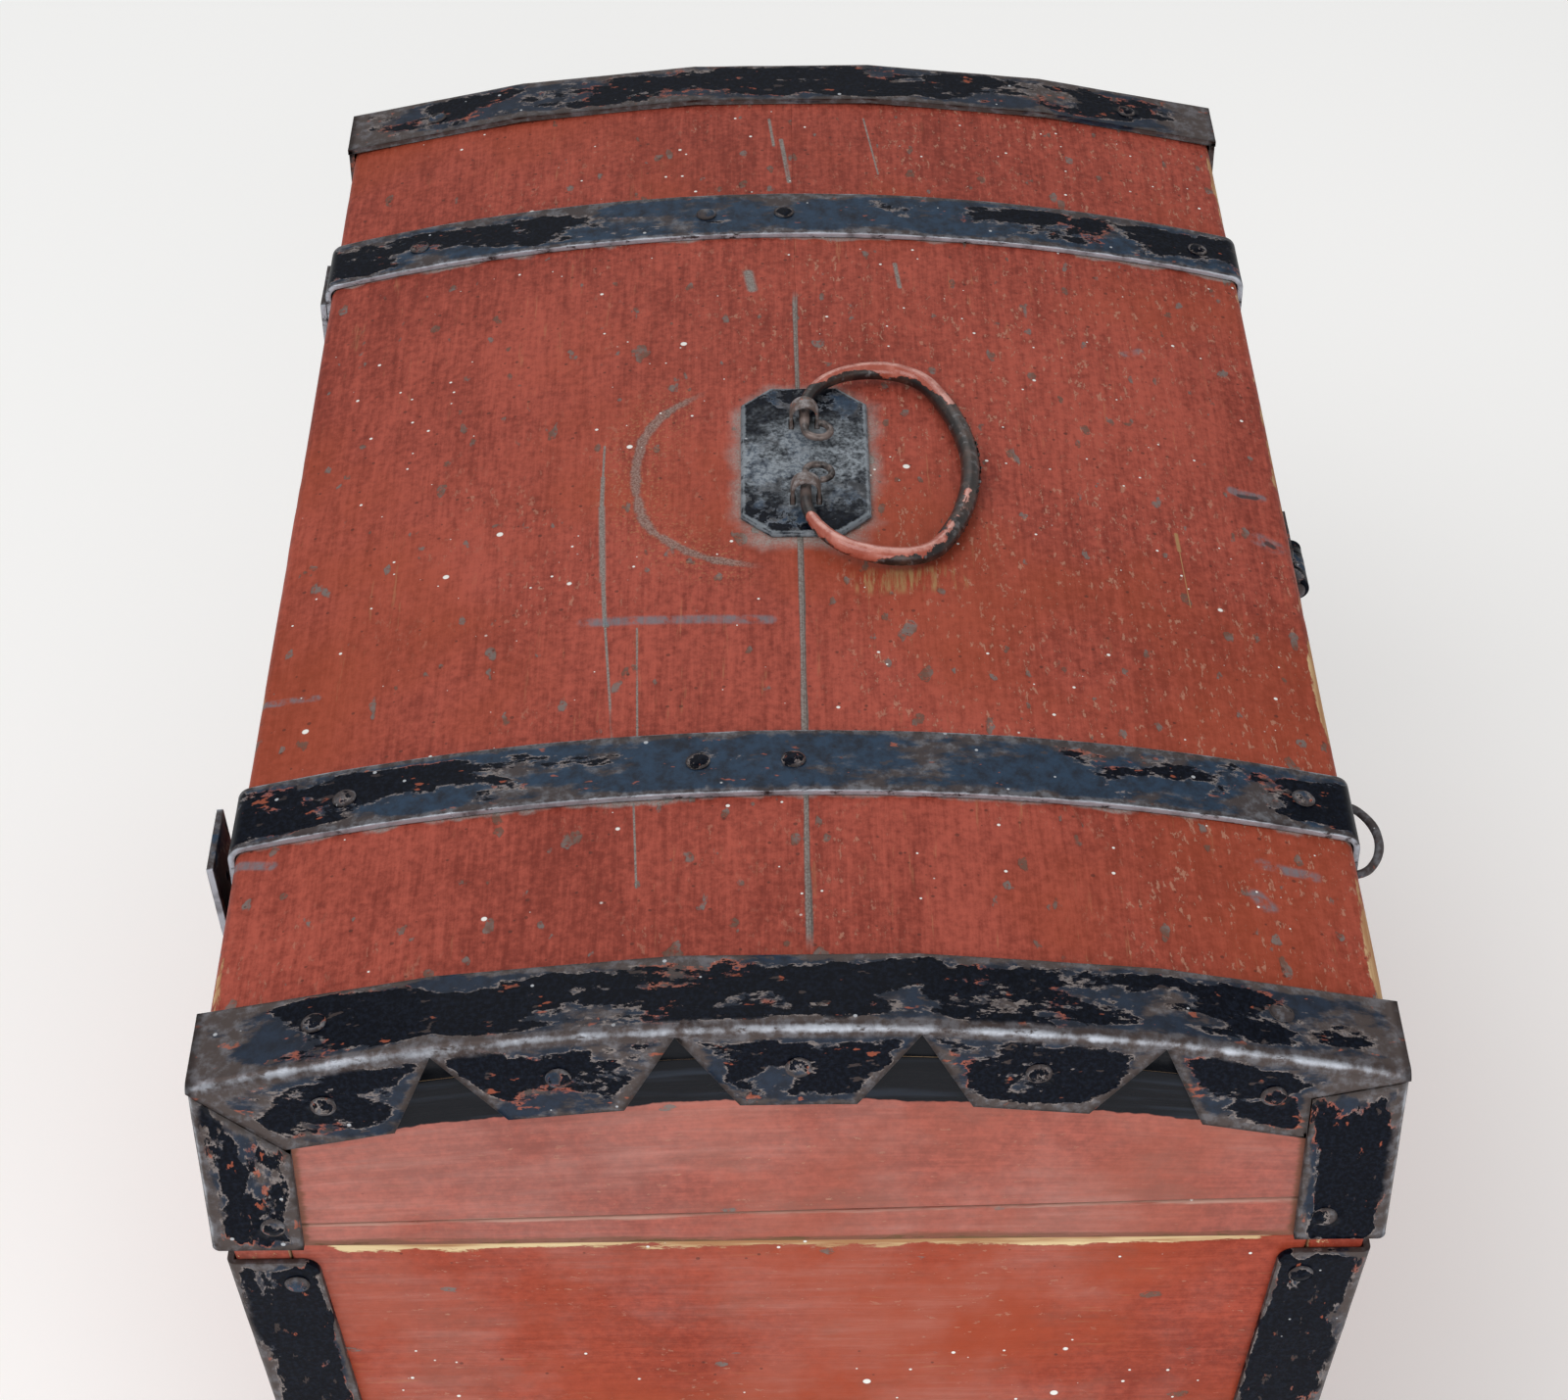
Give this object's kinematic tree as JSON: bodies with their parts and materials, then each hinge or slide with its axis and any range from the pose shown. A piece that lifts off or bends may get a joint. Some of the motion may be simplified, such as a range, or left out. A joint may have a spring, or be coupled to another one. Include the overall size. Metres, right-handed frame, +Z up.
{
  "type": "dome top box",
  "caption": "Iron-bound wooden box with leaning walls, a low domed lid on strap hinges, a swinging bail handle on the lid, and a hasp and staple at the front.",
  "frame": {"origin": "on the floor, under the middle of the box's bottom board", "axes": "+X along the length, towards the end away from the viewer of the picture; -Y out of the front with the hasp; +Z up"},
  "size_m": [0.4826, 0.3274, 0.3187],
  "materials": {
    "red_paint": "worn dull red paint on softwood, bare inside",
    "bare_pine": "unpainted, darkened pine",
    "black_iron": "forged strap with chipped blue-black paint",
    "bare_iron": "dull worn iron",
    "bail_iron": "round bar with worn black and red paint"
  },
  "bodies": {
    "box": {"box_back_board": "red_paint", "box_bottom_board": "bare_pine", "box_bottom_nails": "bare_iron", "box_corner_iron_back_left": "black_iron", "box_corner_iron_back_right": "black_iron", "box_corner_iron_front_left": "black_iron", "box_corner_iron_front_right": "black_iron", "box_corner_nails": "bare_iron", "box_front_board": "red_paint", "box_front_strap_left": "black_iron", "box_front_strap_right": "black_iron", "box_left_end_board": "red_paint", "box_right_end_board": "red_paint", "box_strap_nails": "bare_iron", "hasp_staple": "bare_iron", "hinge_pin_left": "bare_iron", "hinge_pin_right": "bare_iron", "hinge_strap_left": "black_iron", "hinge_strap_right": "black_iron"},
    "lid": {"front_loop": "bare_iron", "handle_eye_left": "bare_iron", "handle_eye_right": "bare_iron", "handle_plate": "black_iron", "hasp_leaf": "black_iron", "hasp_pin": "bare_iron", "hinge_leaf_left": "black_iron", "hinge_leaf_right": "black_iron", "lid_back_rail": "red_paint", "lid_corner_iron_back_left": "black_iron", "lid_corner_iron_back_right": "black_iron", "lid_corner_iron_front_left": "black_iron", "lid_corner_iron_front_right": "black_iron", "lid_corner_nails": "bare_iron", "lid_end_iron_left": "black_iron", "lid_end_iron_right": "black_iron", "lid_end_nails": "bare_iron", "lid_fitting_nails": "bare_iron", "lid_front_rail": "red_paint", "lid_left_end_board": "red_paint", "lid_left_end_strip": "red_paint", "lid_right_end_board": "red_paint", "lid_right_end_strip": "red_paint", "lid_strap_left": "black_iron", "lid_strap_nails": "bare_iron", "lid_strap_right": "black_iron", "lid_top_back_board": "red_paint", "lid_top_front_board": "red_paint"},
    "bail": {"handle_bail": "bail_iron"},
    "hasp": {"hasp": "black_iron"}
  },
  "joints": [
    {"name": "lid_hinge", "type": "hinge", "parent": "box", "child": "lid", "pos_m": [0, 0.15685, 0.23025], "axis": [-1, 0, 0], "range_deg": [0, 110]},
    {"name": "bail_swing", "type": "hinge", "parent": "lid", "child": "bail", "pos_m": [0, -0.005, 0.3141], "axis": [-1, 0, 0], "range_deg": [0, 170]},
    {"name": "hasp_swing", "type": "hinge", "parent": "lid", "child": "hasp", "pos_m": [0, -0.1543, 0.2665], "axis": [-1, 0, 0], "range_deg": [-13, 150]}
  ]
}
